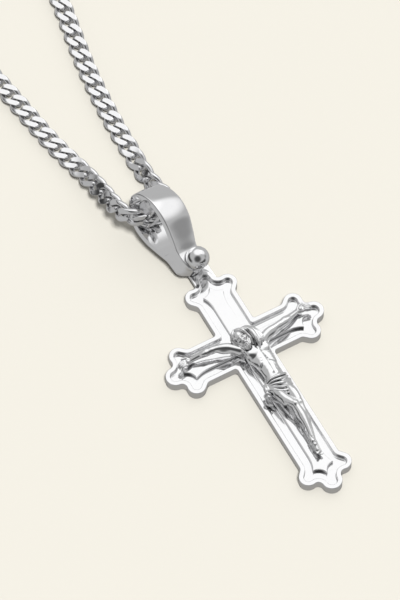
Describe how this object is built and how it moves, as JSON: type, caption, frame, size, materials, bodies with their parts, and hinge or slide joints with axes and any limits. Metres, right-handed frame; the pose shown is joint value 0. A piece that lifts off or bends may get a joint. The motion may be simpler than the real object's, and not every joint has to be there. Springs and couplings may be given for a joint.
{
  "type": "crucifix pendant on a curb chain",
  "caption": "Polished silver crucifix pendant with budded ends, a cast figure on a raised inner cross, a domed bail with a ball at its foot, and a curb chain.",
  "frame": {"origin": "on the back of the cross, under the crossing of its arms; the pendant lies on its back at z = 0", "axes": "+Y to the top of the cross, +X along its right arm as one looks at its face, +Z out of its face"},
  "size_m": [0.0566, 0.2689, 0.0116],
  "materials": {
    "cross_silver": "mirror polished, crisp rim",
    "figure_silver": "cast and polished, darker in its folds",
    "bail_silver": "mirror polished",
    "chain_silver": "bright polished wire"
  },
  "bodies": {
    "root": {"cross": "cross_silver", "corpus": "figure_silver", "bail": "bail_silver", "bail_pin": "bail_silver", "chain_right": "chain_silver", "chain_left": "chain_silver", "clasp": "chain_silver", "clasp_ring_right": "chain_silver", "clasp_ring_left": "chain_silver"}
  },
  "joints": []
}
